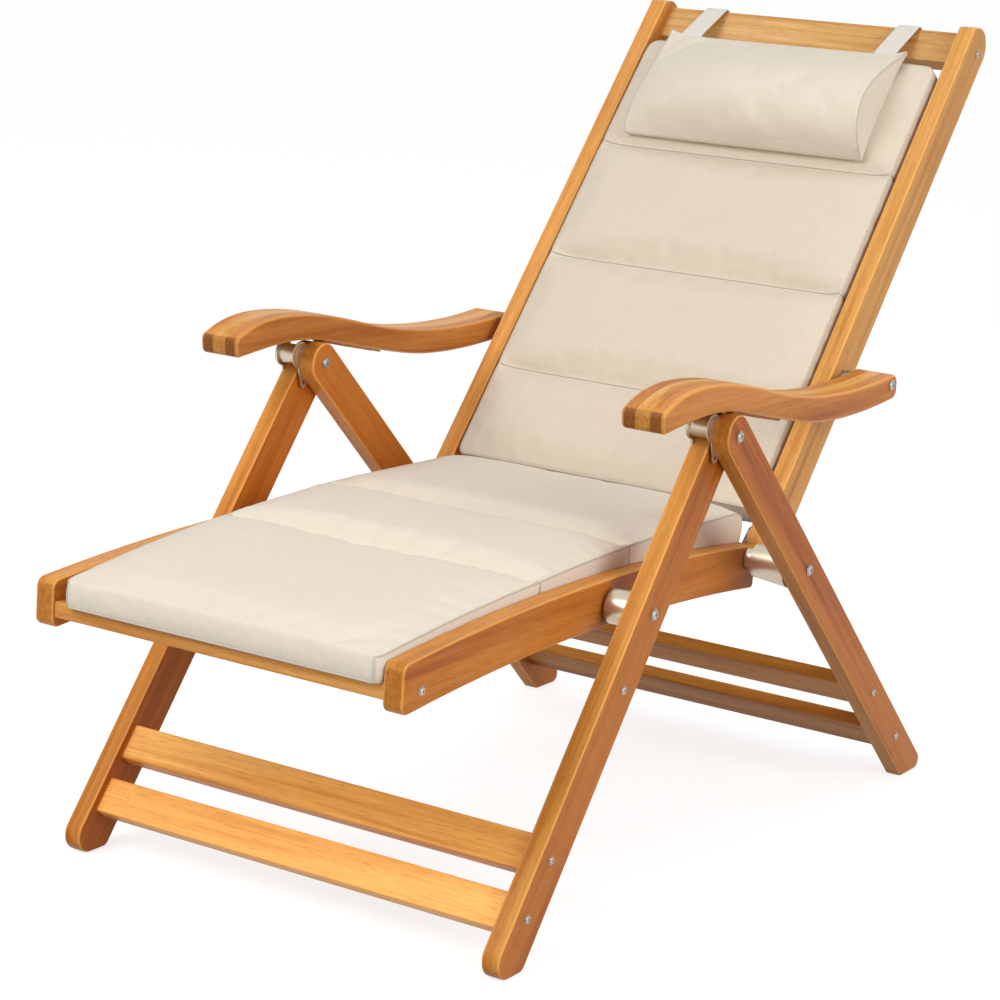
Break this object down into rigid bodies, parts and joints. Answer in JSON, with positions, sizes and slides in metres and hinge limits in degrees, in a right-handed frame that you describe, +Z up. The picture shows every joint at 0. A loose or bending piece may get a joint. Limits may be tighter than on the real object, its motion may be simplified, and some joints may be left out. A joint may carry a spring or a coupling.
{
  "type": "reclining garden armchair",
  "caption": "Folding wooden lounge armchair with a reclining back, wavy laminated armrests, a long arched seat, quilted cream cushions and a head pillow on straps.",
  "frame": {"origin": "on the floor, under the middle of the chair's overall box", "axes": "+X to the sitter's left, +Y to the back of the chair, +Z up"},
  "size_m": [0.667, 1.3754, 1.0195],
  "materials": {
    "oiled_hardwood": "oiled, satin",
    "steel_fixings": "brushed",
    "bronzed_metal": "satin, champagne brown",
    "cream_linen": "fine linen weave",
    "cream_webbing": "flat woven tape"
  },
  "bodies": {
    "front_legs": {"front_leg_left": "oiled_hardwood", "front_leg_right": "oiled_hardwood", "front_slat_upper": "oiled_hardwood", "front_slat_lower": "oiled_hardwood", "leg_top_hub_left": "bronzed_metal", "leg_top_hub_right": "bronzed_metal", "leg_pivot_bolts": "steel_fixings", "leg_pivot_washers": "steel_fixings", "seat_pivot_bolts": "steel_fixings", "seat_pivot_bushes": "bronzed_metal", "front_frame_screws": "steel_fixings"},
    "rear_legs": {"rear_leg_left": "oiled_hardwood", "rear_leg_right": "oiled_hardwood", "rear_slat_upper": "oiled_hardwood", "rear_slat_lower": "oiled_hardwood", "rear_seat_bush_left": "bronzed_metal", "rear_seat_bush_right": "bronzed_metal", "rear_seat_bolts": "steel_fixings", "rear_frame_screws": "steel_fixings"},
    "seat": {"seat_rail_left": "oiled_hardwood", "seat_rail_right": "oiled_hardwood", "seat_front_crossbar": "oiled_hardwood", "seat_slat_1": "oiled_hardwood", "seat_slat_2": "oiled_hardwood", "seat_slat_3": "oiled_hardwood", "seat_slat_4": "oiled_hardwood", "seat_slat_5": "oiled_hardwood", "seat_slat_6": "oiled_hardwood", "seat_slat_7": "oiled_hardwood", "hinge_plate_left": "steel_fixings", "hinge_plate_right": "steel_fixings", "hinge_pins": "steel_fixings", "hinge_washers": "steel_fixings", "seat_frame_screws": "steel_fixings", "seat_cushion": "cream_linen"},
    "back": {"back_stile_left": "oiled_hardwood", "back_stile_right": "oiled_hardwood", "back_top_crossbar": "oiled_hardwood", "back_slat_1": "oiled_hardwood", "back_slat_2": "oiled_hardwood", "back_slat_3": "oiled_hardwood", "back_slat_4": "oiled_hardwood", "back_slat_5": "oiled_hardwood", "armrest_bolts": "steel_fixings", "armrest_spacer_left": "steel_fixings", "armrest_spacer_right": "steel_fixings", "back_frame_screws": "steel_fixings", "back_cushion": "cream_linen", "head_pillow": "cream_linen", "pillow_strap_left": "cream_webbing", "pillow_strap_right": "cream_webbing"},
    "armrest_left": {"armrest_left_inner_strip": "oiled_hardwood", "armrest_left_middle_strip": "oiled_hardwood", "armrest_left_outer_strip": "oiled_hardwood", "notch_track_left": "oiled_hardwood"},
    "armrest_right": {"armrest_right_inner_strip": "oiled_hardwood", "armrest_right_middle_strip": "oiled_hardwood", "armrest_right_outer_strip": "oiled_hardwood", "notch_track_right": "oiled_hardwood"}
  },
  "joints": [
    {"name": "rear_leg_fold", "type": "hinge", "parent": "front_legs", "child": "rear_legs", "pos_m": [-0.004, -0.13366, 0.557], "axis": [-1, 0, 0], "range_deg": [0, 68]},
    {"name": "seat_fold", "type": "hinge", "parent": "front_legs", "child": "seat", "pos_m": [-0.004, -0.26036, 0.362], "axis": [1, 0, 0], "range_deg": [0, 38]},
    {"name": "back_recline", "type": "hinge", "parent": "seat", "child": "back", "pos_m": [-0.004, 0.14834, 0.369], "axis": [1, 0, 0], "range_deg": [0, 24]},
    {"name": "armrest_left_pivot", "type": "hinge", "parent": "back", "child": "armrest_left", "pos_m": [-0.004, 0.3103, 0.56687], "axis": [1, 0, 0], "range_deg": [-19.2, 0]},
    {"name": "armrest_right_pivot", "type": "hinge", "parent": "back", "child": "armrest_right", "pos_m": [-0.004, 0.3103, 0.56687], "axis": [1, 0, 0], "range_deg": [-19.2, 0]}
  ],
  "couplings": [
    {"joint": "seat_fold", "follows": "rear_leg_fold", "ratio": 0.5588},
    {"joint": "armrest_left_pivot", "follows": "back_recline", "ratio": -0.8},
    {"joint": "armrest_right_pivot", "follows": "back_recline", "ratio": -0.8}
  ]
}
